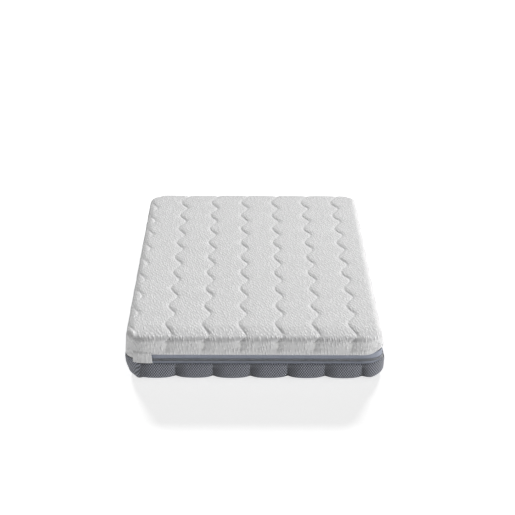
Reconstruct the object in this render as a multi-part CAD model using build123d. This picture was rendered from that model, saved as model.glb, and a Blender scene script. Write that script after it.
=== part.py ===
from build123d import *
import os

# Memory foam mattress with a zipped two-part cover. Millimetres.
# X is the width, Y the length with the zip's start at -Y, Z up from the floor; the origin is on the
# floor under the middle. "Depth" is always measured inwards from the cover's outer wall.

# Whole object
WIDTH = 900.0
LENGTH = 1900.0
HEIGHT = 160.0
CORNER = 80.0            # plan radius of the four corners
TOP_EDGE = 14.0          # rounding of the upper edge
BASE_EDGE = 24.0         # rounding of the lower edge

# Quilted cover: face fabric, wadding and backing, from the outside in
FACE = 1.5
WADDING = 9.0
BACKING = 1.2
LAYER_GAP = 0.15         # between neighbouring layers
THREAD = 0.5             # height of a line of quilting thread
GROOVE = 0.6             # depth of the groove that a line of thread lies in

# Heights on the wall
SEAM_Z = 68.0            # middle of the zip, and the sewn seam on the left side
SEAM_GAP = 2.8           # between the two covers along the sewn seam
UPPER_HEM_Z = 87.0       # lower edge of the upper cover above the zip
LOWER_HEM_Z = 55.5       # upper edge of the lower cover below the zip

# Zip
ZIP_START_X = -421.0     # the zip runs from here round the front, the right side and the back
TAPE_DEPTH = 9.0
TAPE = 1.0
COIL = 3.0               # thickness of a coil half, standing in front of its tape
COIL_HEIGHT = 4.0
COIL_GAP = 1.0           # between the two halves, where the slider's neck runs
STITCH = 0.3             # thickness of the seam stitches on the tape

# Quilting lines
TOP_LINE_PITCH = 128.0
TOP_LINE_X = -34.0       # the middle one of seven
WAVE_LENGTH = 204.0
WAVE_HEIGHT = 13.0       # either side of the line
WAVE_PHASE = -24.0       # where a wave crosses its line
BASE_LINE_PITCH = 129.0
BASE_LINE_X = -13.0
LINES_EACH_SIDE = 3
THREAD_WIDTH = 1.4

# Foam core
CORE_CLEARANCE = 3.5     # to the cover's inner wall, so that the cover can swing open
REST_GAP = 0.3
CORE_EDGE = 12.0
MEMORY_LAYER = 40.0

# Slider and pull tab, parked inside the garage
SLIDER_X = -361.0
SLIDER_LENGTH = 18.0
SLIDER_PLATE = 1.5
PIN_RADIUS = 0.7
PULL_LENGTH = 22.0
PULL = 1.2

# Garage flap over the start of the zip
FLAP_LEFT = -418.0
FLAP_RIGHT = -351.0
FLAP_BOTTOM = 57.5
FLAP = 1.3

COVER = FACE + WADDING + BACKING + 2 * LAYER_GAP
FRONT_Y = -LENGTH / 2
LEFT_X = -WIDTH / 2


def plan(depth):
    """The mattress's outline from above, offset inwards by depth."""
    return RectangleRounded(WIDTH - 2 * depth, LENGTH - 2 * depth, CORNER - depth)


def slab(depth, low, high, low_edge=0.0, high_edge=0.0):
    """A solid of the mattress's outline between two heights, with rounded edges."""
    body = extrude(Pos(0, 0, low) * plan(depth), high - low)
    if high_edge > 0:
        body = fillet(body.faces().sort_by(Axis.Z)[-1].edges(), high_edge)
    if low_edge > 0:
        body = fillet(body.faces().sort_by(Axis.Z)[0].edges(), low_edge)
    return body


def band(depth, thickness, low, high):
    """A strip standing on edge that follows the wall all round."""
    return extrude(Pos(0, 0, low) * (plan(depth) - plan(depth + thickness)), high - low)


def block(x, y, z):
    """A box from three (low, high) pairs."""
    middle = [(low + high) / 2 for low, high in (x, y, z)]
    size = [high - low for low, high in (x, y, z)]
    return Pos(*middle) * Box(*size)


def zip_side():
    """Everything on the zip's side of its start: front, right side and back."""
    return block((ZIP_START_X, WIDTH), (-LENGTH, LENGTH), (-HEIGHT, 2 * HEIGHT))


def along_zip(depth, thickness, low, high):
    """A strip that follows the wall only where the zip runs."""
    return band(depth, thickness, low, high) & zip_side()


def upper_layer(depth, thickness):
    """One layer of the upper cover: a cap, longer on the left side, where it has no zip."""
    low = SEAM_Z + SEAM_GAP / 2
    outer = slab(depth, low, HEIGHT - depth, high_edge=TOP_EDGE - depth)
    inner_depth = depth + thickness
    inner = slab(inner_depth, low - 1, HEIGHT - inner_depth, high_edge=TOP_EDGE - inner_depth)
    zip_cut = block((ZIP_START_X, WIDTH), (-LENGTH, LENGTH), (0, UPPER_HEM_Z))
    return outer - inner - zip_cut


def lower_layer(depth, thickness):
    """One layer of the lower cover: a tray, taller on the left side."""
    high = SEAM_Z - SEAM_GAP / 2
    outer = slab(depth, depth, high, low_edge=BASE_EDGE - depth)
    inner_depth = depth + thickness
    inner = slab(inner_depth, inner_depth, high + 1, low_edge=BASE_EDGE - inner_depth)
    zip_cut = block((ZIP_START_X, WIDTH), (-LENGTH, LENGTH), (LOWER_HEM_Z, HEIGHT))
    return outer - inner - zip_cut


def line_positions(middle, pitch):
    return [middle + n * pitch for n in range(-LINES_EACH_SIDE, LINES_EACH_SIDE + 1)]


def wave_edge(x, first, count):
    """One side of a wavy line: arcs of half a wave, bulging left and right in turn."""
    half = WAVE_LENGTH / 2
    arcs = []
    for n in range(count):
        low = first + n * half
        bulge = WAVE_HEIGHT if n % 2 else -WAVE_HEIGHT
        arcs.append(ThreePointArc((x, low), (x + bulge, low + half / 2), (x, low + half)))
    return arcs


def wavy_line(x, width):
    """A wavy strip in plan, longer than the mattress."""
    count = 2 * round(LENGTH / WAVE_LENGTH) + 2
    first = WAVE_PHASE - count / 2 * WAVE_LENGTH / 2
    last = first + count * WAVE_LENGTH / 2
    left = wave_edge(x - width / 2, first, count)
    right = wave_edge(x + width / 2, first, count)
    ends = [Line((x - width / 2, y), (x + width / 2, y)) for y in (first, last)]
    return make_face(left + right + ends)


def top_lines(width, low, height):
    """Seven wavy strips on the flat of the top."""
    flat = RectangleRounded(WIDTH - 2 * TOP_EDGE, LENGTH - 2 * TOP_EDGE, CORNER - TOP_EDGE)
    lines = [wavy_line(x, width) & flat for x in line_positions(TOP_LINE_X, TOP_LINE_PITCH)]
    strips = [extrude(Pos(0, 0, low) * line, height) for line in lines]
    return [solid for strip in strips for solid in strip.solids()]


def upper_face():
    """The upper cover's knitted fabric, with a shallow groove for each wavy line of thread."""
    panel = upper_layer(0, FACE)
    for groove in top_lines(2 * THREAD_WIDTH, HEIGHT - GROOVE, 2 * GROOVE):
        panel -= groove
    return panel


def base_lines(width, low, high):
    """Straight strips along the base, one for each quilting line."""
    reach = LENGTH / 2 - BASE_EDGE
    xs = line_positions(BASE_LINE_X, BASE_LINE_PITCH)
    return [block((x - width / 2, x + width / 2), (-reach, reach), (low, high)) for x in xs]


def lower_face():
    """The lower cover's mesh fabric, with a shallow groove for each quilting line."""
    panel = lower_layer(0, FACE)
    for groove in base_lines(2 * THREAD_WIDTH, -1, GROOVE):
        panel -= groove
    return panel


def coil_half(low):
    return along_zip(TAPE_DEPTH + TAPE - COIL, COIL, low, low + COIL_HEIGHT)


def side_seam():
    """The round seam that joins the two covers on the left side, and on which the cover swings."""
    radius = 0.8
    reach = LENGTH / 2 - CORNER
    bead = Cylinder(radius, 2 * reach, rotation=(90, 0, 0))
    return Pos(LEFT_X + radius, 0, SEAM_Z) * bead


def end_tacks():
    """Bars of stitches across both ends of the zip, which stop the slider."""
    width = 2.0
    front = TAPE_DEPTH + TAPE - COIL
    reach = COIL_HEIGHT + COIL_GAP / 2 + 1.5
    tack = band(front - 1.1, 1.0, SEAM_Z - reach, SEAM_Z + reach)
    ends = tack & block((ZIP_START_X, ZIP_START_X + width), (-LENGTH, LENGTH), (0, HEIGHT))
    return Compound(ends.solids())


def core_part(low, high, low_edge, high_edge):
    return slab(COVER + CORE_CLEARANCE, low, high, low_edge, high_edge)


def slider_body():
    """Die-cast slider: two plates round the chain, a neck between them and a crown for the pull."""
    coil_front = FRONT_Y + TAPE_DEPTH + TAPE - COIL
    tape_back = FRONT_Y + TAPE_DEPTH + TAPE
    chain = COIL_HEIGHT + COIL_GAP / 2
    reach = chain + 2.6
    ends = (SLIDER_X - SLIDER_LENGTH / 2, SLIDER_X + SLIDER_LENGTH / 2)
    rise = (SEAM_Z - reach, SEAM_Z + reach)
    front = (coil_front - 0.25 - SLIDER_PLATE, coil_front - 0.25)
    back = (tape_back + 0.3, tape_back + 0.3 + SLIDER_PLATE)
    body = block(ends, front, rise)
    body = fillet(body.edges().filter_by(Axis.Y), 3.0)
    rear = fillet(block(ends, back, rise).edges().filter_by(Axis.Y), 3.0)
    neck = block((ends[0] + 1, ends[0] + 6), (front[1] - 0.2, back[0] + 0.2),
                 (SEAM_Z - 0.3, SEAM_Z + 0.3))
    body = body + rear + neck
    for side in (-1, 1):
        flange = sorted((SEAM_Z + side * (chain + 0.4), SEAM_Z + side * reach))
        edge = (front[1] - 0.2, coil_front + COIL - TAPE - 0.3)
        body += block((ends[0] + 3, ends[1] - 3), edge, flange)
    return body + slider_crown(front[0])


def slider_crown(plate_y):
    """The arch on the slider's front plate that the pull's pin turns under."""
    high = plate_y - 2.8
    crown = block((SLIDER_X - 2.5, SLIDER_X + 2.5), (high, plate_y + 0.1), (SEAM_Z - 1.5, SEAM_Z + 1.5))
    crown = fillet(crown.edges().filter_by(Axis.Z).group_by(Axis.Y)[0], 0.8)
    eye = block((SLIDER_X - 1.5, SLIDER_X + 1.5), (high + 0.8, plate_y), (SEAM_Z - 2, SEAM_Z + 2))
    return crown - eye


def pull_pin_y():
    coil_front = FRONT_Y + TAPE_DEPTH + TAPE - COIL
    return coil_front - 0.25 - SLIDER_PLATE - PIN_RADIUS - 0.3


def pull_tab():
    """Flat tab with two arms and the pin between them, lying back along the zip."""
    half = 3.1
    arm = 1.2
    clear = 3.9
    y = pull_pin_y()
    deep = (y - PULL / 2, y + PULL / 2)
    tab = block((SLIDER_X - PULL_LENGTH, SLIDER_X - clear), deep, (SEAM_Z - half, SEAM_Z + half))
    tab = fillet(tab.edges().filter_by(Axis.Y).group_by(Axis.X)[0], 2.4)
    for side in (-1, 1):
        rise = sorted((SEAM_Z + side * half, SEAM_Z + side * (half - arm)))
        tab += block((SLIDER_X - clear - 0.2, SLIDER_X), deep, rise)
    pin = Pos(SLIDER_X, y, SEAM_Z) * Cylinder(PIN_RADIUS, 2 * half)
    hole = Pos(SLIDER_X - PULL_LENGTH + 3.5, y, SEAM_Z) * Cylinder(1.3, 10, rotation=(90, 0, 0))
    return tab + pin - hole


def garage_flap():
    """Fabric flap that hangs from the upper cover's hem and follows the corner, with a rolled top."""
    roll_z = UPPER_HEM_Z - REST_GAP - FLAP / 2
    sheet = band(0, FLAP, FLAP_BOTTOM, roll_z)
    front_left = block((FLAP_LEFT, FLAP_RIGHT), (-LENGTH, 0), (0, HEIGHT))
    straight = FLAP_RIGHT - (LEFT_X + CORNER)
    roll = Cylinder(FLAP / 2, straight, rotation=(0, 90, 0))
    hinge_line = Pos(FLAP_RIGHT - straight / 2, FRONT_Y + FLAP / 2, roll_z)
    return (sheet & front_left) + hinge_line * roll


def export(shape, name):
    export_step(shape, f"parts/{name}.step")


def lower_cover():
    wadding_depth = FACE + LAYER_GAP
    backing_depth = wadding_depth + WADDING + LAYER_GAP
    coil_top = SEAM_Z - COIL_GAP / 2
    thread = base_lines(THREAD_WIDTH, GROOVE - THREAD, GROOVE)
    export(lower_face(), "base_mesh_panel")
    export(lower_layer(wadding_depth, WADDING), "base_wadding")
    export(lower_layer(backing_depth, BACKING), "base_backing")
    export(Compound(thread), "base_quilting_thread")
    export(coil_half(coil_top - COIL_HEIGHT), "zip_coil_lower")
    export(along_zip(TAPE_DEPTH, TAPE, LOWER_HEM_Z, coil_top - COIL_HEIGHT), "zip_tape_lower")
    low = LOWER_HEM_Z + 1.5
    export(along_zip(TAPE_DEPTH - STITCH, STITCH, low, low + 1), "zip_stitching_lower")
    export(end_tacks(), "zip_end_tacks")


def foam_core():
    low = COVER + REST_GAP
    high = HEIGHT - COVER - REST_GAP
    joint = high - MEMORY_LAYER
    export(core_part(low, joint, CORE_EDGE, 0), "support_foam")
    export(core_part(joint, high, 0, CORE_EDGE), "memory_foam")


def upper_cover():
    wadding_depth = FACE + LAYER_GAP
    backing_depth = wadding_depth + WADDING + LAYER_GAP
    coil_low = SEAM_Z + COIL_GAP / 2
    thread = top_lines(THREAD_WIDTH, HEIGHT - GROOVE, THREAD)
    export(upper_face(), "top_knit_panel")
    export(upper_layer(wadding_depth, WADDING), "top_wadding")
    export(upper_layer(backing_depth, BACKING), "top_backing")
    export(Compound(thread), "top_quilting_thread")
    export(coil_half(coil_low), "zip_coil_upper")
    export(along_zip(TAPE_DEPTH, TAPE, coil_low + COIL_HEIGHT, UPPER_HEM_Z), "zip_tape_upper")
    high = UPPER_HEM_Z - 1.5
    export(along_zip(TAPE_DEPTH - STITCH, STITCH, high - 1, high), "zip_stitching_upper")
    export(side_seam(), "side_seam")


os.makedirs("parts", exist_ok=True)
lower_cover()
foam_core()
upper_cover()
export(garage_flap(), "garage_flap")
export(slider_body(), "zip_slider")
export(pull_tab(), "zip_pull")
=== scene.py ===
import math

import bpy
import numpy as np
from mathutils import Matrix, Vector


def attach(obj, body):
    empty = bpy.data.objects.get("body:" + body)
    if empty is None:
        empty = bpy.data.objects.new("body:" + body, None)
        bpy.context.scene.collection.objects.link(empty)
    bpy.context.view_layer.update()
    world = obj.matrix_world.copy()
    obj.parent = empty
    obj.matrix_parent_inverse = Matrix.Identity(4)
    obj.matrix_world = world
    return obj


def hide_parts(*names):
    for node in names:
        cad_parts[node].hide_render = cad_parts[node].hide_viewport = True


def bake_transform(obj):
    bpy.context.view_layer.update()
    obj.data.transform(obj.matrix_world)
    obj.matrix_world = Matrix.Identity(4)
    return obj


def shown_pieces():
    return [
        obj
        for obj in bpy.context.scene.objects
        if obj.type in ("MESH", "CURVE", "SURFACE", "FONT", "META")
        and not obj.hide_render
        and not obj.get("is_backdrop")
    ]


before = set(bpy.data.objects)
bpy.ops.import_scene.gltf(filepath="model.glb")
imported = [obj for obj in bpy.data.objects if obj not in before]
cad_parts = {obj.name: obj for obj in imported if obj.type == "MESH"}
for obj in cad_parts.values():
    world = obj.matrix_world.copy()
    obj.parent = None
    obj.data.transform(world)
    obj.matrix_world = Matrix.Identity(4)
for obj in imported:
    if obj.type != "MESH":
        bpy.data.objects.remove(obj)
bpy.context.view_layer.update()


# ---- Foam core ----
# Two blocks glued into one core: memory foam on a firmer support foam. Both are cut by a hot
# wire, so their sides show open pores and faint lines. Lengths are in mm, those of finishes in m.

class Value:
    """A number, colour or direction in a finish, so that sums on it are written as sums."""

    def __init__(self, finish, socket):
        self.finish = finish
        self.socket = socket

    def sum(self, operation, *others):
        inputs = dict(enumerate((self,) + others))
        return self.finish.node("ShaderNodeMath", {"operation": operation}, inputs)

    def __add__(self, other):
        return self.sum("ADD", other)

    def __mul__(self, other):
        return self.sum("MULTIPLY", other)

    def __sub__(self, other):
        return self.sum("SUBTRACT", other)

    def __rsub__(self, other):
        return self * -1 + other

    __radd__ = __add__
    __rmul__ = __mul__


class Finish:
    """A material made of nodes. Numbers that are the same all over go straight on its shader."""

    def __init__(self, name, **plain):
        self.material = bpy.data.materials.new(name)
        self.material.use_nodes = True
        self.tree = self.material.node_tree
        self.shader = self.tree.nodes["Principled BSDF"]
        for socket, value in plain.items():
            self.shader.inputs[socket.replace("_", " ")].default_value = value

    def node(self, kind, settings, inputs, output=0):
        made = self.tree.nodes.new(kind)
        for name, value in settings.items():
            setattr(made, name, value)
        for name, value in inputs.items():
            if isinstance(value, Value):
                self.tree.links.new(value.socket, made.inputs[name])
            else:
                made.inputs[name].default_value = value
        return Value(self, made.outputs[output])

    def place(self, cut=False):
        """Where a point lies on the cut cloth, or in the piece, in metres."""
        if cut:
            return self.node("ShaderNodeAttribute", {"attribute_name": "cut"}, {}, "Vector")
        return self.node("ShaderNodeTexCoord", {}, {}, "Object")

    def turned(self, place, size, angle=0.0):
        """The place measured in cells of that size, in metres, on axes turned about Z."""
        scale = [1 / length for length in size]
        turn = {"Vector": place, "Rotation": (0, 0, angle)}
        straight = self.node("ShaderNodeMapping", {"vector_type": "TEXTURE"}, turn)
        vector = {0: straight, 1: scale}
        return self.node("ShaderNodeVectorMath", {"operation": "MULTIPLY"}, vector)

    def parts(self, vector):
        made = self.node("ShaderNodeSeparateXYZ", {}, {"Vector": vector})
        return [Value(self, out) for out in made.socket.node.outputs]

    def noise(self, place, scale, detail=2.0, rough=0.5):
        inputs = {"Vector": place, "Scale": scale, "Detail": detail, "Roughness": rough}
        return self.node("ShaderNodeTexNoise", {}, inputs)

    def cells(self, place, scale=1.0, spread=1.0, smooth=0.4):
        inputs = {"Vector": place, "Scale": scale, "Randomness": spread}
        if not smooth:
            return self.node("ShaderNodeTexVoronoi", {}, inputs)
        inputs["Smoothness"] = smooth
        return self.node("ShaderNodeTexVoronoi", {"feature": "SMOOTH_F1"}, inputs)

    def band(self, value, low, high):
        """0 below low, 1 above high and smooth between."""
        settings = {"interpolation_type": "SMOOTHSTEP"}
        inputs = {"Value": value, "From Min": low, "From Max": high}
        return self.node("ShaderNodeMapRange", settings, inputs)

    def mix(self, share, first, second):
        colours = [c if isinstance(c, Value) else (*c, 1) for c in (first, second)]
        inputs = {0: share, 6: colours[0], 7: colours[1]}
        return self.node("ShaderNodeMix", {"data_type": "RGBA"}, inputs, 2)

    def wear(self, colour, rough, *reliefs):
        """Sets colour, roughness and relief. Each relief is (height from 0 to 1, its depth in m)."""
        links = {"Base Color": colour, "Roughness": rough}
        normal = None
        for height, depth in reliefs:
            inputs = {"Height": height, "Distance": depth, "Strength": 1.0}
            if normal:
                inputs["Normal"] = normal
            normal = self.node("ShaderNodeBump", {}, inputs)
        links["Normal"] = normal
        for name, value in links.items():
            self.tree.links.new(value.socket, self.shader.inputs[name])
        return self.material


def foam_finish(name, pale, deep, pore):
    look = Finish(name, Subsurface_Weight=0.06, Specular_IOR_Level=0.15)
    place = look.place()
    pores = look.band(look.cells(place, 1 / pore), 0.15, 0.6)
    across, along, up = look.parts(place)
    saw = (up * 2200 + look.noise(place, 9) * 6).sum("SINE") * 0.5 + 0.5
    patches = look.noise(place, 14, 4)
    shade = look.mix(pores * 0.55 + patches * 0.35, pale, deep)
    reliefs = (1 - pores, 0.0006), (saw, 0.00012)
    return look.wear(shade, 0.82 + patches * 0.12, *reliefs)


def smooth(share):
    share = np.clip(share, 0, 1)
    return share * share * (3 - 2 * share)


def ramp(value, start, length):
    """0 up to start, 1 past start + length and smooth between."""
    return smooth((value - start) / length)


def out_from_edge(plan, half, corner):
    """How far points lie outside a rounded rectangle, and the way straight out of it."""
    reach = np.abs(plan) - (np.array(half) - corner)
    past = np.maximum(reach, 0)
    gap = np.linalg.norm(past, axis=-1)
    distance = gap + np.minimum(reach.max(axis=-1), 0) - corner
    wide = (reach[..., 0] > reach[..., 1])[..., None]
    side = np.where(wide, [1.0, 0.0], [0.0, 1.0])
    away = np.where(gap[..., None] > 1e-6, past / np.maximum(gap, 1e-6)[..., None], side)
    return distance, away * np.where(plan < 0, -1.0, 1.0)


def round_corners(square, half, corner):
    """Moves the corners of a rectangle in to a rounded one, so that rows stay rows."""
    inner = np.array(half) - corner
    past = np.clip((np.abs(square) - inner) / corner, 0, 1)
    turned = past * np.sqrt(1 - past[..., ::-1] ** 2 / 2)
    return np.sign(square) * (np.minimum(np.abs(square), inner) + corner * turned)


def over_edge(bends, drop=None):
    """The line of a layer over an edge: shares of its length, and there how far out and down it
    is, and its slope. Each bend is a length and the slope in degrees where it ends."""
    ends = np.cumsum([0] + [length for length, slope in bends])
    slopes = np.radians([0] + [slope for length, slope in bends])
    length = np.linspace(0, ends[-1], 600)
    slope = np.interp(length, ends, slopes)
    step = length[1]
    middle = (slope[1:] + slope[:-1]) / 2
    out = np.concatenate([[0], np.cumsum(np.cos(middle) * step)])
    down = np.concatenate([[0], np.cumsum(np.sin(middle) * step)])
    if drop:
        down *= drop / down[-1]
    return length / ends[-1], out, down, slope


def mesh_piece(name, points, faces, cut=None):
    """A mesh from points in mm. cut is where each point lies on the flat cloth."""
    mesh = bpy.data.meshes.new(name)
    mesh.from_pydata((np.asarray(points).reshape(-1, 3) / 1000).tolist(), [], faces)
    mesh.shade_smooth()
    if cut is not None:
        cut = np.asarray(cut)
        places = np.zeros((len(mesh.vertices), 3), np.float32)
        places[:, :cut.shape[-1]] = cut.reshape(-1, cut.shape[-1]) / 1000
        mesh.attributes.new("cut", "FLOAT_VECTOR", "POINT").data.foreach_set(
            "vector", places.ravel())
    piece = bpy.data.objects.new(name, mesh)
    bpy.context.collection.objects.link(piece)
    return piece


def finish_piece(piece, material, body=None):
    piece.data.materials.clear()
    piece.data.materials.append(material)
    if body:
        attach(piece, body)
    return piece


def shell_faces(rows, columns, flip):
    """Faces of two sheets of points, outer and inner, joined round their edge."""
    index = np.arange(rows * columns).reshape(rows, columns)
    quads = np.stack([index[:-1, :-1], index[:-1, 1:], index[1:, 1:], index[1:, :-1]], -1)
    quads = quads.reshape(-1, 4)
    rim = np.concatenate([index[0], index[1:, -1], index[-1, -2::-1], index[-2:0:-1, 0]])
    after = np.roll(rim, -1)
    under = rows * columns
    edge = np.stack([rim, rim + under, after + under, after], -1)
    faces = np.concatenate([quads, quads[:, ::-1] + under, edge])
    return (faces[:, ::-1] if flip else faces).tolist()


def sag(along):
    """How far the top of the mattress sinks towards its front edge."""
    deepest = 10
    return deepest * ramp(-along, 835, 90)


def foam_block(name, low, high, edges, sinks=False):
    """A rounded block. edges are the radii of its lower and upper edges."""
    half = np.array([434.5, 934.5])
    corner = 64.5
    margin = 30
    wall_length = 34.0
    inner_half = half - margin
    wall = np.linspace(0, wall_length, 12)
    places = [np.concatenate([-(reach + wall)[::-1], np.linspace(-inside, inside, count),
                              reach + wall])
              for reach, inside, count in zip(inner_half, (395, 895), (42, 90))]
    square = np.stack(np.meshgrid(*places), -1)
    flat = round_corners(square, inner_half + wall_length, corner - margin + wall_length)
    distance, away = out_from_edge(flat, inner_half, corner - margin)
    there = np.clip(distance / wall_length, 0, 1)
    step = np.where(there > 0.5, (there - 0.5) * 2, 0)
    skins = []
    for radius, level, way in ((edges[1], high, 1), (edges[0], low, -1)):
        bends = [(radius * math.pi / 2, 90), ((high - low) / 2 - radius, 90)]
        share, out, down, slope = over_edge(bends)
        inner = np.clip(there * 2, 0, 1) * (margin - radius)
        outward = inner + np.interp(step, share, out) - np.maximum(distance, 0)
        plan = flat + away * outward[..., None]
        z = level - way * np.interp(step, share, down)
        if sinks and way == 1:
            z = z - sag(plan[..., 1]) * (1 - there * 0.5)
        skins.append(np.concatenate([plan, z[..., None]], -1))
    return mesh_piece(name, np.stack(skins), shell_faces(*flat.shape[:2], False))


support = foam_block("support_foam_block", 12.3, 107.1, (11, 0.6))
finish_piece(support, foam_finish("support_foam", (0.66, 0.7, 0.74), (0.4, 0.45, 0.5), 0.0016),
             "core")
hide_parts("support_foam")

memory = foam_block("memory_foam_block", 107.1, 147.1, (0.6, 11), sinks=True)
finish_piece(memory, foam_finish("memory_foam", (0.8, 0.79, 0.74), (0.62, 0.6, 0.53), 0.0011),
             "core")
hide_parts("memory_foam")


# ---- Lower cover ----
# Grey spacer mesh quilted to a thin wadding and a backing by straight lines of thread. It lies
# under the core and comes up its sides to the zip, or to the sewn seam on the left side.

def ripple(plan, seed, size):
    """Gentle unevenness of soft cloth, from 0 to 1, with waves of about that size in mm."""
    draw = np.random.default_rng(seed)
    height = np.zeros(plan.shape[:-1])
    for _ in range(14):
        angle, phase = draw.uniform(0, 2 * math.pi, 2)
        length = size * draw.uniform(0.6, 1.8)
        run = plan[..., 0] * math.cos(angle) + plan[..., 1] * math.sin(angle)
        height += np.sin(2 * math.pi * run / length + phase)
    return np.clip(0.5 + height / 12, 0, 1)


class CoverHalf:
    """The upper or lower cover. cut is a place on its flat cloth, and place() is where that lies."""

    outline = np.array([450.0, 950.0])
    corner = 80.0
    wave_length = 204
    wave_start = 922

    def __init__(self, level, way, inset, hang, lines, wave, puff, spread, flat_from):
        self.level = level
        self.way = way
        self.inset = inset
        self.hang = hang
        self.lines = np.array(lines)
        self.wave = wave
        self.puff = puff
        self.spread = spread
        self.flat_from = flat_from
        self.half = self.outline - inset + hang
        self.cut_corner = self.corner - inset + hang

    def phase(self, along):
        return 2 * math.pi * (along - self.wave_start) / self.wave_length

    def swing(self, along):
        """How far a line lies beside its middle. On the front the cloth is pulled to the left."""
        front = ramp(-along, 925, 35)
        pulled = 0.6 * front + 0.37 * ramp(-along, 500, 400)
        return self.wave * (np.cos(self.phase(along)) * (1 - front) - pulled)

    def waved(self, cut):
        """Places on the cut cloth with its lines pulled into waves. The left edge stays straight."""
        distance, away = out_from_edge(cut, self.outline, self.corner)
        left = ramp(self.hang - distance, self.inset, 24)[..., None]
        side = np.stack([-away[..., 1], away[..., 0]], -1)
        pull = side * side[..., :1] + away * away[..., :1] * left
        return cut + pull * self.swing(cut[..., 1])[..., None]

    def over_side(self, layer, share, sewn, away):
        """How far out and down the layer is over the mattress's edge, and its slope."""
        right = ramp(away[..., 0], 0.4, 0.55)
        shares = {"ends": (1 - sewn) * (1 - right), "sewn_side": sewn, "right_side": right}
        out, down, slope = 0, 0, 0
        for side_name, weight in shares.items():
            line = layer.get(side_name, layer["ends"])
            out, down, slope = [total + weight * np.interp(share, line[0], part)
                                for total, part in zip((out, down, slope), line[1:])]
        if not self.wave:
            foot = smooth(2 * np.minimum(away[..., 0], 0) * np.minimum(away[..., 1], 0))
            foot = foot * layer["follow"] * smooth(share * 4)
            out = out + 7 * foot * (1 - ramp(share, 0.25, 0.3))
        return out, down, slope

    def dips(self, cut, flat, share, sewn):
        """How far the cloth lies in along its quilted lines, with its small unevenness."""
        gap = np.abs(cut[..., :1] - self.lines).min(-1)
        on_wall = smooth(share * 3)
        valley = self.puff * np.exp(-gap / (self.spread * (1 + 1.2 * smooth(share * 2.5))))
        uneven = 1.3 * ripple(flat, 5, 150) + 0.5 * ripple(flat, 9, 45)
        left = ramp(-flat[..., 0], 375, 22)
        if self.wave:
            lean = np.sin(self.phase(cut[..., 1]))
            pinch = np.exp(-((share - 0.4) / 0.09) ** 2)
            valley = valley * np.maximum(0.62 + 0.38 * lean, on_wall)
            valley = valley * (1 + 0.3 * on_wall + 0.4 * pinch)
            calm = left * 0.1
        else:
            uneven = uneven * on_wall
            calm = left * smooth(share * 5)
        valley = valley * (1 - sewn * on_wall)
        valley = valley * (1 - calm)
        return (valley + uneven) * (1 - ramp(share, self.flat_from, 0.97 - self.flat_from))

    def place(self, cut, layer, sink=0.0):
        """Points, the way straight out of the cloth there, and the points before it was laid."""
        flat = self.waved(cut)
        distance, away = out_from_edge(flat, self.outline, self.corner)
        past = distance + self.inset
        share = np.clip(past / self.hang, 0, 1)
        sewn = ramp(-flat[..., 0], 402, 20)
        out, down, slope = self.over_side(layer, share, sewn, away)
        eased_over = 60
        shift = (self.inset - layer["inset"]) * np.minimum(1, np.exp(past / eased_over))
        plan = flat + away * (shift + out - np.maximum(past, 0))[..., None]
        z = self.level - self.way * (layer["depth"] + down)
        if self.wave:
            z = z - sag(plan[..., 1]) * (1 - ramp(share, 0.3, 0.6)) * (1 - sewn)
        point = np.concatenate([plan, z[..., None]], -1)
        tall = (self.way * np.cos(slope))[..., None]
        normal = np.concatenate([away * np.sin(slope)[..., None], tall], -1)
        inward = layer["follow"] * self.dips(cut, flat, share, sewn) + sink
        return point - normal * inward[..., None], normal, flat

    def net(self, offsets, rows, wall):
        """Rows and columns of the cut cloth, closer together beside lines and over the edges."""
        edge = self.outline - self.inset
        marks = {round(float(line + way * offset), 2)
                 for line in self.lines for offset in offsets for way in (-1, 1)}
        inside = [mark for mark in sorted(marks) if abs(mark) < edge[0] - 2.5]
        columns = np.concatenate([-(edge[0] + wall)[::-1], inside, edge[0] + wall])
        middle = np.linspace(-edge[1], edge[1], rows)[1:-1]
        rows = np.concatenate([-(edge[1] + wall)[::-1], middle, edge[1] + wall])
        square = np.stack(np.meshgrid(columns, rows), -1)
        return round_corners(square, self.half, self.cut_corner)

    def wound(self, cut, flat):
        """Places on the cloth as it is wound round the walls, and how far right of a line."""
        distance, away = out_from_edge(flat, self.outline, self.corner)
        inner = self.outline - self.corner
        turn = np.arctan2(away[..., 0], np.abs(away[..., 1]))
        back = np.sign(flat[..., 0]) * np.maximum(inner[1] - np.abs(flat[..., 1]), 0)
        round_wall = np.clip(flat[..., 0], -inner[0], inner[0]) + self.corner * turn
        round_wall = round_wall + np.where(np.abs(away[..., 0]) > 0.999, back, 0)
        wall = np.stack([round_wall, -self.outline[1] - distance], -1)
        place = np.where((distance > -self.inset)[..., None], wall, flat)
        pitch = self.lines[1] - self.lines[0]
        past_line = np.mod(cut[..., 0] - self.lines[0], pitch)
        return np.concatenate([place, (past_line / pitch)[..., None]], -1)

    def shell(self, name, cut, outer, inner, sinks):
        """A closed layer between two skins of the cover."""
        skins = [self.place(cut, skin, sink) for skin, sink in zip((outer, inner), sinks)]
        faces = shell_faces(*cut.shape[:2], self.way < 0)
        points = np.stack([skin[0] for skin in skins])
        flat = np.stack([skin[2] for skin in skins])
        if not self.wave:
            flat = self.wound(np.stack([cut, cut]), flat)
        return mesh_piece(name, points, faces, flat)

    def stitch_line(self, line, layer, pitch, sink):
        """Middles, ways along and ways out of a line's stitches, evenly spaced on the cloth."""
        end = self.half[1] - 6
        along = np.linspace(-end, end, 4000)
        cut = np.stack([np.full(len(along), line), along], -1)
        point, normal, flat = self.place(cut, layer, sink)
        run = np.concatenate([[0], np.cumsum(np.linalg.norm(np.diff(point, axis=0), axis=1))])
        stops = np.arange(pitch, run[-1] - pitch, pitch)
        middle, out, ahead, back = [
            np.stack([np.interp(stops + shift, run, part) for part in parts.T], -1)
            for parts, shift in ((point, 0), (normal, 0), (point, 1), (point, -1))]
        return middle, ahead - back, out


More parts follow.
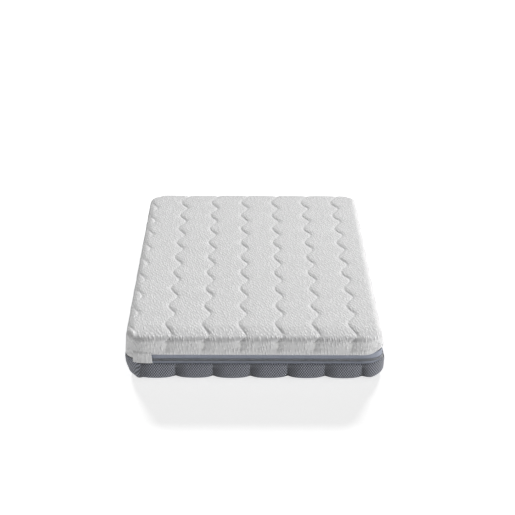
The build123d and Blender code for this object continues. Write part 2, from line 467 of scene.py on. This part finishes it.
def beads(name, middle, along, out, size):
    """Many small rounded rods, such as stitches: size is length, width and height in mm."""
    sides = 5
    along = along / np.linalg.norm(along, axis=-1, keepdims=True)
    across = np.cross(out, along)
    across /= np.linalg.norm(across, axis=-1, keepdims=True)
    out = np.cross(along, across)
    length, width, height = size
    angle = np.linspace(0, 2 * math.pi, sides, endpoint=False)
    rings = np.array([(-0.5, 0.4), (-0.3, 1.0), (0.3, 1.0), (0.5, 0.4)])
    step = rings[:, 0][:, None, None] * length * along[:, None, None]
    wide = np.cos(angle)[:, None] * rings[:, 1][:, None, None] * width / 2
    tall = np.sin(angle)[:, None] * rings[:, 1][:, None, None] * height / 2
    points = (middle[:, None, None] + step + wide * across[:, None, None]
              + tall * out[:, None, None])
    ring = np.arange(sides)
    turn = np.roll(ring, -1)
    quads = [[a + k * sides, b + k * sides, b + (k + 1) * sides, a + (k + 1) * sides]
             for k in range(len(rings) - 1) for a, b in zip(ring, turn)]
    ends = [ring[::-1].tolist(), (ring + (len(rings) - 1) * sides).tolist()]
    count = sides * len(rings)
    faces = [[v + bead * count for v in face]
             for bead in range(len(middle)) for face in quads + ends]
    return mesh_piece(name, points, faces)


def spacer_mesh_finish():
    look = Finish("grey_spacer_mesh", Sheen_Weight=0.25, Sheen_Roughness=0.5,
                  Specular_IOR_Level=0.25)
    hole_width, hole_length = 0.0084, 0.0094
    place = look.place(cut=True)
    across, along, past_line = look.parts(place)
    bent = look.noise(place, 60, 1) * 0.5
    first = (across * (2 * math.pi / hole_width) + bent).sum("COSINE")
    second = (along * (2 * math.pi / hole_length) + bent).sum("COSINE")
    net = first * second * 0.5 + 0.5
    yarn = look.cells(look.turned(place, (0.0011, 0.0018, 1)), 1, 0.5)
    patches = look.noise(place, 18, 4)
    light = look.band(net, 0.35, 0.8)
    # Right of each quilted line the pale yarns are painted darker, fading out towards the next line:
    # painted shade in the pocket there. The same mask also flattens the net's relief there.
    painted_pocket_shade = look.band(past_line * 1000, 0.02, 0.5) * 0.75 + 0.25
    shade = look.mix(light * painted_pocket_shade * (0.92 + patches * 0.5), (0.09, 0.092, 0.099),
                     (0.44, 0.46, 0.53))
    grain = look.mix(look.band(yarn, 0.2, 0.9) * 0.35, shade, (0.04, 0.043, 0.05))
    return look.wear(grain, 0.95 - light * 0.2, (net * painted_pocket_shade, 0.0024), (1 - yarn, 0.0003))


def nonwoven_finish(name, pale, deep, relief):
    look = Finish(name, Specular_IOR_Level=0.1, Sheen_Weight=0.2)
    place = look.place(cut=True)
    fibre = look.noise(look.turned(place, (0.004, 0.0007, 1), 0.6), 1, 6, 0.7)
    cross = look.noise(look.turned(place, (0.0008, 0.005, 1), 0.3), 1, 6, 0.7)
    web = look.band(fibre * 0.5 + cross * 0.5, 0.35, 0.65)
    clumps = look.noise(place, 70, 3)
    shade = look.mix(web * 0.6 + clumps * 0.3, deep, pale)
    return look.wear(shade, 0.85 + web * 0.1, (web * 0.6 + clumps * 0.4, relief))


def thread_finish(name, pale, deep):
    look = Finish(name, Sheen_Weight=0.3, Specular_IOR_Level=0.4)
    place = look.place()
    across, along, up = look.parts(place)
    twist = ((across + along + up) * 9000 + look.noise(place, 300) * 2).sum("SINE") * 0.5 + 0.5
    fluff = look.noise(place, 900, 3)
    shade = look.mix(twist * 0.6 + fluff * 0.3, deep, pale)
    return look.wear(shade, 0.5 + fluff * 0.3, (twist, 0.0002))


base_lines = [-13 + 129 * step for step in range(-3, 4)]
base_cover = CoverHalf(level=0.0, way=-1, inset=45.0, hang=89.0, lines=base_lines, wave=0.0,
                       puff=11.0, spread=8.0, flat_from=0.84)
mesh_skin = {
    "depth": 0.0, "inset": 45.0, "follow": 1.0,
    "ends": over_edge([(40, 0.5), (9, 86), (27, 91), (14, 140)], 54.0),
    "right_side": over_edge([(25, 0), (36, 86), (21, 90), (8, 120)], 60.0),
    "sewn_side": over_edge([(8, 0), (30, 58), (38, 86), (14, 108)], 67.5)}
base_wadding_skin = {
    "depth": 10.6, "inset": 28.6, "follow": 0.0,
    "ends": over_edge([(28.3, 90), (24, 90)], 41.5),
    "sewn_side": over_edge([(28.3, 90), (36, 90)], 52.6)}
base_backing_skin = {
    "depth": 11.9, "inset": 29.9, "follow": 0.0,
    "ends": over_edge([(28.3, 90), (24, 90)], 43.0),
    "sewn_side": over_edge([(28.3, 90), (36, 90)], 53.5)}
base_offsets = (0, 3, 7, 12, 18, 26, 36, 49, 64.5)
base_wall = np.concatenate([np.linspace(0, 15, 4), np.linspace(15, 59, 12)[1:],
                            np.linspace(59, 75, 4)[1:], np.linspace(75, 89, 7)[1:]])
base_cut = base_cover.net(base_offsets, 210, base_wall)
plain_cut = base_cover.net((0, 12, 36, 64.5), 90, np.linspace(0, 89, 20))

base_mesh = base_cover.shell("base_mesh", base_cut, mesh_skin, mesh_skin, (0, 1.5))
finish_piece(base_mesh, spacer_mesh_finish(), "lower_cover")
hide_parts("base_mesh_panel")

base_filling = base_cover.shell("base_filling", plain_cut, mesh_skin, base_wadding_skin, (3.8, 0))
finish_piece(base_filling, nonwoven_finish("wadding", (0.83, 0.83, 0.82), (0.62, 0.62, 0.6),
                                           0.0012), "lower_cover")
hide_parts("base_wadding")

base_lining = base_cover.shell("base_lining", plain_cut, base_wadding_skin, base_backing_skin,
                               (0.2, 0))
finish_piece(base_lining, nonwoven_finish("backing", (0.72, 0.73, 0.74), (0.55, 0.56, 0.57),
                                          0.0003), "lower_cover")
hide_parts("base_backing")

rows = [base_cover.stitch_line(line, mesh_skin, 6.0, 0.25) for line in base_cover.lines]
base_stitches = beads("base_quilting", *[np.concatenate(part) for part in zip(*rows)],
                      (5.2, 0.9, 0.7))
finish_piece(base_stitches, thread_finish("grey_thread", (0.2, 0.21, 0.23), (0.09, 0.095, 0.11)),
             "lower_cover")
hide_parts("base_quilting_thread")


# ---- Zip on the lower cover ----
# A moulded-tooth zip on a woven tape, sewn behind the edge of the grey mesh. It starts on the
# front left corner and runs round the front, the right side and the back.

def edge_run(pitch, shift=0.0):
    """Places along the zip on the mattress's outline, the way along and the way out."""
    end_x = -421
    depth = 9
    corner = CoverHalf.corner
    half_width, half_length = CoverHalf.outline - corner
    turn = math.acos((end_x + half_width) / (corner - depth))
    quarter = corner * math.pi / 2
    part = corner * (turn - math.pi / 2)
    lengths = np.array([part, 2 * half_width, quarter, 2 * half_length, quarter, 2 * half_width,
                        part])
    ends = np.concatenate([[0], np.cumsum(lengths)])
    run = np.arange(shift, ends[-1], pitch)
    leg = np.minimum(np.searchsorted(ends, run, side="right") - 1, 6)
    past = run - ends[leg]
    starts = np.array([2 * math.pi - turn, 1.5 * math.pi, 1.5 * math.pi, 0, 0, 0.5 * math.pi,
                       0.5 * math.pi])
    angle = starts[leg] + np.where(leg % 2 == 0, past / corner, 0)
    signs = np.array([(-1, -1), (-1, -1), (1, -1), (1, -1), (1, 1), (1, 1), (-1, 1)])
    ways = np.array([(0, 0), (1, 0), (0, 0), (0, 1), (0, 0), (-1, 0), (0, 0)])
    middles = signs * (half_width, half_length)
    away = np.stack([np.cos(angle), np.sin(angle)], -1)
    point = middles[leg] + corner * away + ways[leg] * past[:, None]
    return point, np.stack([-away[:, 1], away[:, 0]], -1), away


def at_depth(run, depth, z):
    """Points at that depth inside the outline and that height, with their ways. On the right
    side, where the covers bulge, the zip lies further out."""
    point, ahead, away = run
    depth = depth - 5.5 * ramp(away[:, :1], 0.2, 0.6)
    level = np.zeros(len(point))
    spot = np.concatenate([point - away * depth, np.full((len(point), 1), z)], -1)
    return spot, np.column_stack([ahead, level]), np.column_stack([away, level])


def tape(name, section):
    """A long strip with that closed section of (depth, height) along the outline."""
    step = 6.0
    run = edge_run(step)
    rings = np.stack([at_depth(run, depth, z)[0] for depth, z in section], 1)
    count, size = rings.shape[:2]
    ring = np.arange(size)
    after = np.roll(ring, -1)
    faces = [[a + k * size, b + k * size, b + (k + 1) * size, a + (k + 1) * size]
             for k in range(count - 1) for a, b in zip(ring, after)]
    faces += [ring[::-1].tolist(), (ring + (count - 1) * size).tolist()]
    lengths = np.arange(count) * step
    heights = np.array([z for depth, z in section])
    cut = np.stack(np.meshgrid(lengths, heights, indexing="ij"), -1)
    return mesh_piece(name, rings, faces, cut)


def tape_finish():
    look = Finish("woven_zip_tape", Sheen_Weight=0.2, Specular_IOR_Level=0.3)
    place = look.place(cut=True)
    across, along, up = look.parts(place)
    rib_pitch, cord_pitch = 0.0016, 0.0011
    ribs = ((across + along) * (2 * math.pi / rib_pitch)).sum("SINE") * 0.5 + 0.5
    cords = (along * (2 * math.pi / cord_pitch)).sum("SINE") * 0.5 + 0.5
    patches = look.noise(place, 40, 3)
    shade = look.mix(ribs * 0.45 + cords * 0.2 + patches * 0.35, (0.23, 0.25, 0.3),
                     (0.39, 0.42, 0.5))
    return look.wear(shade, 0.72 + patches * 0.2, (ribs * 0.6 + cords * 0.4, 0.00025))


def tooth_finish():
    look = Finish("moulded_zip_teeth", Specular_IOR_Level=0.5)
    place = look.place()
    grain = look.noise(place, 500, 4)
    dull = look.noise(place, 35, 3)
    shade = look.mix(grain * 0.4 + dull * 0.5, (0.3, 0.305, 0.325), (0.5, 0.51, 0.54))
    return look.wear(shade, 0.34 + dull * 0.25, (grain, 0.0001))


tooth_pitch = 3.0
tape_look = tape_finish()
tooth_look = tooth_finish()
grey_thread = bpy.data.materials["grey_thread"]
lower_tape = tape("lower_tape", [
    (9.0, 50.5), (8.0, 53), (7.2, 56), (8.6, 61.4), (9.0, 62.4), (10.6, 62.4), (10.6, 50.5)])
finish_piece(lower_tape, tape_look, "lower_cover")
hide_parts("zip_tape_lower")


def teeth(name, shift, middle):
    """A row of teeth. The other row is shifted by half a pitch, so that they mesh."""
    depth = 8.4
    spot, ahead, away = at_depth(edge_run(tooth_pitch, shift), depth, middle)
    upright = np.tile([0.0, 0.0, 1.0], (len(spot), 1))
    return beads(name, spot, upright, away, (5.4, 1.35, 3.0))


lower_teeth = teeth("lower_teeth", 0.0, 65.1)
finish_piece(lower_teeth, tooth_look, "lower_cover")
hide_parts("zip_coil_lower")


def run_of_stitches(name, depth, z):
    spot, ahead, away = at_depth(edge_run(3.8, 2.0), depth, z)
    return beads(name, spot, ahead, away, (3.0, 0.6, 0.6))


lower_tape_stitches = run_of_stitches("lower_tape_stitches", 7.6, 57.6)
finish_piece(lower_tape_stitches, grey_thread, "lower_cover")
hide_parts("zip_stitching_lower")


# ---- Zip ends ----
# Where the two rows of teeth begin and end, a few stitches across the tapes stop the slider.

def tacks():
    first_and_last = [0, 1, 2, -3, -2, -1]
    spot, ahead, away = [part[first_and_last] for part in at_depth(edge_run(1.0), 7.6, 68.0)]
    upright = np.tile([0.0, 0.0, 1.0], (len(spot), 1))
    return beads("zip_tacks", spot, upright, away, (12.5, 0.8, 1.6))


zip_tacks = finish_piece(tacks(), grey_thread, "lower_cover")
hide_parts("zip_end_tacks")


# ---- Upper cover ----
# White knitted fabric quilted to a thick wadding and a backing by wavy lines of thread. Its
# edges roll over the core and turn in at the zip, or meet the grey mesh in the sewn side seam.

def knit_finish():
    look = Finish("white_pebble_knit", Sheen_Weight=0.3, Sheen_Roughness=0.6,
                  Specular_IOR_Level=0.2)
    place = look.place(cut=True)
    across, along, up = look.parts(place)
    height = look.parts(look.place())[2]
    wall = look.band(height, 0.156, 0.135)
    crease = look.band(height, 0.155, 0.147) * look.band(height, 0.131, 0.139)
    rows = (across * 370 + along * 209 + look.noise(place, 45) * 6).sum("SINE") * 0.5 + 0.5
    pebbles = look.cells(look.turned(place, (0.0082, 0.024, 1), 0.16), 1, 0.6, 0.0)
    round_tops = look.band(pebbles * -1, -0.66, -0.05)
    rib_width, loop_pitch = 0.0012, 0.0016
    rib = (across * (math.pi / rib_width)).sum("SINE").sum("ABSOLUTE")
    loop = (along * (2 * math.pi / loop_pitch) + rib * 2.2).sum("SINE") * 0.5 + 0.5
    patches = look.noise(place, 12, 4)
    # The pebble tops are painted lighter than the gaps between them: a painted highlight on the tops
    # and painted shade in the gaps. Loops and random patches vary the tone a little too.
    shade = look.mix(round_tops * 0.7 + loop * 0.1 + patches * 0.2, (0.68, 0.68, 0.682),
                     (0.85, 0.85, 0.85))
    # In the crease under the front edge, the gaps between pebbles are painted darker still: painted
    # shade.
    painted_crease_shade = look.band(round_tops, 0.55, 0.1) * crease * 0.4
    shade = look.mix(painted_crease_shade, shade, (0.5, 0.5, 0.51))
    pebbled = round_tops * (wall * 0.6 + 0.4) + rows * (0.14 - wall * 0.14)
    return look.wear(shade, 0.9 - round_tops * 0.12, (pebbled, 0.0028), (loop * rib, 0.00012))


top_lines = [-37 + 128 * step for step in range(-3, 5)]
top_cover = CoverHalf(level=160.0, way=1, inset=30.0, hang=98.0, lines=top_lines, wave=13.4,
                      puff=7.2, spread=6.0, flat_from=0.64)
knit_skin = {
    "depth": 0.0, "inset": 30.0, "follow": 1.0,
    "ends": over_edge([(14, 25), (16, 60), (8, 88), (34, 90), (12, 102), (12, 155)], 76.0),
    "right_side": over_edge([(42, 78), (24, 89), (8, 100), (16, 165)], 64.0),
    "sewn_side": over_edge([(40, 87), (45, 89), (14, 94), (8, 108)], 91.4)}
top_wadding_skin = {
    "depth": 10.4, "inset": 29.5, "follow": 0.0,
    "ends": over_edge([(30, 90), (31, 90)], 49.6),
    "sewn_side": over_edge([(30, 90), (58, 90)], 76.0)}
top_backing_skin = {
    "depth": 11.8, "inset": 30.9, "follow": 0.0,
    "ends": over_edge([(30, 90), (31, 90)], 51.0),
    "sewn_side": over_edge([(30, 90), (58, 90)], 77.4)}
top_offsets = (0, 2.5, 5.5, 9.5, 15, 23, 34, 48, 64)
top_wall = np.concatenate([np.linspace(0, 52, 17), np.linspace(52, 80, 7)[1:],
                           np.linspace(80, 98, 8)[1:]])
top_cut = top_cover.net(top_offsets, 232, top_wall)
lining_cut = top_cover.net((0, 5.5, 15, 34, 64), 120, top_wall[::2])

top_knit = top_cover.shell("top_knit", top_cut, knit_skin, knit_skin, (0, 1.5))
finish_piece(top_knit, knit_finish(), "upper_cover")
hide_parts("top_knit_panel")

top_filling = top_cover.shell("top_filling", lining_cut, knit_skin, top_wadding_skin, (2.4, 0))
finish_piece(top_filling, bpy.data.materials["wadding"], "upper_cover")
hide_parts("top_wadding")

top_lining = top_cover.shell("top_lining", lining_cut, top_wadding_skin, top_backing_skin,
                             (0.2, 0))
finish_piece(top_lining, bpy.data.materials["backing"], "upper_cover")
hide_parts("top_backing")

rows = [top_cover.stitch_line(line, knit_skin, 6.0, 0.2) for line in top_cover.lines]
top_stitches = beads("top_quilting", *[np.concatenate(part) for part in zip(*rows)],
                     (5.2, 0.9, 0.7))
finish_piece(top_stitches, thread_finish("white_thread", (0.8, 0.8, 0.8), (0.55, 0.56, 0.58)),
             "upper_cover")
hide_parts("top_quilting_thread")


# ---- Zip on the upper cover ----
# The other row of teeth, on its own tape, sewn behind the turned edge of the white knit. More
# of this tape shows, because the knit stops higher above the teeth.

upper_tape = tape("upper_tape", [
    (11.1, 71.2), (9.8, 71.2), (9.6, 72.2), (9.7, 73.3), (8.4, 86), (9.6, 93), (10.8, 93)])
finish_piece(upper_tape, tape_look, "upper_cover")
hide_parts("zip_tape_upper")

upper_teeth = teeth("upper_teeth", tooth_pitch / 2, 68.9)
finish_piece(upper_teeth, tooth_look, "upper_cover")
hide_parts("zip_coil_upper")

upper_tape_stitches = run_of_stitches("upper_tape_stitches", 8.8, 84.6)
finish_piece(upper_tape_stitches, grey_thread, "upper_cover")
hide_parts("zip_stitching_upper")


# ---- Side seam ----
# Along the left side the two halves are overlocked together for good: a close row of white
# stitches over both edges. The cover opens like a book on this seam.

def overlock():
    seam_x, seam_z, seam_end, pitch = -447.6, 68.0, 868, 2.6
    along = np.arange(-seam_end, seam_end + 1, pitch)
    spot = np.stack([np.full(len(along), seam_x), along, np.full(len(along), seam_z)], -1)
    lean = np.tile([0.0, 0.35, 1.0], (len(along), 1))
    out = np.tile([-1.0, 0.0, 0.0], (len(along), 1))
    return beads("side_seam_stitches", spot, lean, out, (6.0, 0.8, 2.2))


side_seam = finish_piece(overlock(), bpy.data.materials["white_thread"],
                         "upper_cover")
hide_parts("side_seam")


# ---- Slider and pull ----
# Die-cast zinc, painted grey. The slider holds both rows of teeth together, and the flat pull
# hangs from a pin on its crown. Their edges are rubbed bright.

def painted_zinc():
    look = Finish("painted_zinc", IOR=1.5)
    place = look.place()
    edges = look.node("ShaderNodeNewGeometry", {}, {}, "Pointiness")
    scuffs = look.noise(place, 700, 5, 0.7)
    worn = look.band(edges + (scuffs - 0.5) * 0.12, 0.53, 0.6)
    paint = look.mix(look.noise(place, 90, 3), (0.2, 0.208, 0.225), (0.27, 0.28, 0.3))
    shade = look.mix(worn, paint, (0.62, 0.62, 0.61))
    look.tree.links.new(worn.socket, look.shader.inputs["Metallic"])
    return look.wear(shade, 0.48 - worn * 0.2 + scuffs * 0.1, (scuffs, 0.00006))


zinc = painted_zinc()
for node in ("zip_slider", "zip_pull"):
    finish_piece(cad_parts[node], zinc)


# ---- Flap over the zip's end ----
# A short double piece of the white knit, sewn to the upper cover above the zip. It hangs over
# the slider and hides where the teeth begin, so that a child can't reach the pull.

def flap():
    hem, hem_top, top = 57.4, 60, 99
    width, flare, thickness = 66.0, 5.0, 1.6
    corner = CoverHalf.corner
    corner_middle = np.array([-1, -1]) * (CoverHalf.outline - corner)
    bend = corner * (math.pi / 2 - math.acos(0.6))
    run = np.linspace(0, 1, 26)
    height = np.concatenate([np.linspace(hem, hem_top, 4), np.linspace(hem_top, top, 20)[1:]])
    low = (top - height) / (top - hem)
    reach = width + flare * low[None, :] * run[:, None] ** 3
    length = run[:, None] * reach
    angle = 1.5 * math.pi - np.maximum(bend - length, 0) / corner
    along = np.maximum(length - bend, 0)
    away = np.stack([np.cos(angle), np.sin(angle)], -1)
    base = corner_middle + corner * away + np.stack([along, along * 0], -1)
    up = np.broadcast_to(height[None, :], length.shape)
    hang = 1.3 - 0.4 * np.cos(low * math.pi)[None, :] + 0.3 * np.sin(length / 9)
    tuck = ramp(up, 90, 9) * 4.5
    skins = []
    for inward, way in ((0, 1), (thickness, -1)):
        rolled = 0.5 * (1 - ramp(up, 59.5, 2)) * way
        plan = base + away * (hang - tuck - inward + rolled)[..., None]
        skins.append(np.concatenate([plan, up[..., None]], -1))
    cut = np.stack([length, up], -1)
    faces = shell_faces(*length.shape, True)
    return mesh_piece("zip_flap", np.stack(skins), faces, np.stack([cut, cut]))


zip_flap = flap()
finish_piece(zip_flap, bpy.data.materials["white_pebble_knit"])
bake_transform(zip_flap)
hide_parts("garage_flap")


# ---- Studio ----
# A wide flat sheet of white paper that glows a little. Two low lights from behind reach only
# the paper. The others reach only the mattress, the strongest from behind on the right and from
# the right. The camera stands in front, a little above.

def studio_floor():
    mesh = bpy.data.meshes.new("studio_floor")
    reach = 30.0
    corners = [(-reach, -reach, 0), (reach, -reach, 0), (reach, reach, 0), (-reach, reach, 0)]
    mesh.from_pydata(corners, [], [(0, 1, 2, 3)])
    floor = bpy.data.objects.new("studio_floor", mesh)
    bpy.context.collection.objects.link(floor)
    look = Finish("studio_paper", Emission_Color=(1, 1, 1, 1), Emission_Strength=0.68,
                  Specular_IOR_Level=0.0)
    grain = look.noise(look.place(), 900, 2)
    shade = look.mix(grain, (0.79, 0.79, 0.79), (0.81, 0.81, 0.81))
    mesh.materials.append(look.wear(shade, 0.9 + grain * 0.1, (grain, 0.00002)))
    return floor


studio_floor()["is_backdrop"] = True

world = bpy.data.worlds.new("studio_air")
world.use_nodes = True
world.node_tree.nodes["Background"].inputs["Color"].default_value = (1, 1, 1, 1)
world.node_tree.nodes["Background"].inputs["Strength"].default_value = 0.2
bpy.context.scene.world = world


def sun(name, lit, azimuth, elevation, strength, width):
    """A soft light from azimuth, counted from +Y towards +X, at that elevation, in degrees."""
    light = bpy.data.lights.new(name, "SUN")
    light.energy = strength
    light.angle = math.radians(width)
    lamp = bpy.data.objects.new(name, light)
    turn, tilt = math.radians(azimuth), math.radians(elevation)
    towards = Vector((math.sin(turn) * math.cos(tilt), math.cos(turn) * math.cos(tilt),
                      math.sin(tilt)))
    lamp.rotation_euler = towards.to_track_quat("Z", "Y").to_euler()
    lamp.light_linking.receiver_collection = lit
    bpy.context.collection.objects.link(lamp)


mattress = bpy.data.collections.new("mattress")
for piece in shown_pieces():
    mattress.objects.link(piece)
paper = bpy.data.collections.new("paper")
paper.objects.link(bpy.data.objects["studio_floor"])
sun("left_back_light", paper, azimuth=-13, elevation=15.5, strength=2.45, width=6)
sun("right_back_light", paper, azimuth=13, elevation=15.5, strength=2.45, width=6)
sun("key_light", mattress, azimuth=40, elevation=44, strength=1.42, width=24)
sun("rear_light", mattress, azimuth=20, elevation=36, strength=0.6, width=30)
sun("side_light", mattress, azimuth=106, elevation=12, strength=1.35, width=24)
sun("high_light", mattress, azimuth=0, elevation=75, strength=0.3, width=70)

panel_light = bpy.data.lights.new("panel_light", "AREA")
panel_light.size = 1.6
panel_light.energy = 18
panel = bpy.data.objects.new("panel_light", panel_light)
panel.location = (2.4, 0.5, 2.6)
panel.rotation_euler = Vector((2.4, 0.5, 2.5)).to_track_quat("Z", "Y").to_euler()
panel.light_linking.receiver_collection = mattress
bpy.context.collection.objects.link(panel)

camera = bpy.data.objects.new("camera", bpy.data.cameras.new("camera"))
camera.data.sensor_width = 36
camera.data.lens = 134.58757
camera.data.clip_end = 100
stand = Matrix.Translation((-0.0256, -7.206, 2.309))
pitch, yaw, roll = (math.radians(angle) for angle in (16.646, -0.325, 0.260))
ahead = Vector((-math.sin(yaw) * math.cos(pitch), math.cos(yaw) * math.cos(pitch),
                -math.sin(pitch)))
right = Vector((math.cos(yaw), math.sin(yaw), 0))
above = right.cross(ahead)
side = right * math.cos(roll) + above * math.sin(roll)
above = above * math.cos(roll) - right * math.sin(roll)
camera.matrix_world = stand @ Matrix((side, above, -ahead)).transposed().to_4x4()
bpy.context.collection.objects.link(camera)
bpy.context.scene.camera = camera
bpy.context.scene.view_settings.view_transform = "Standard"
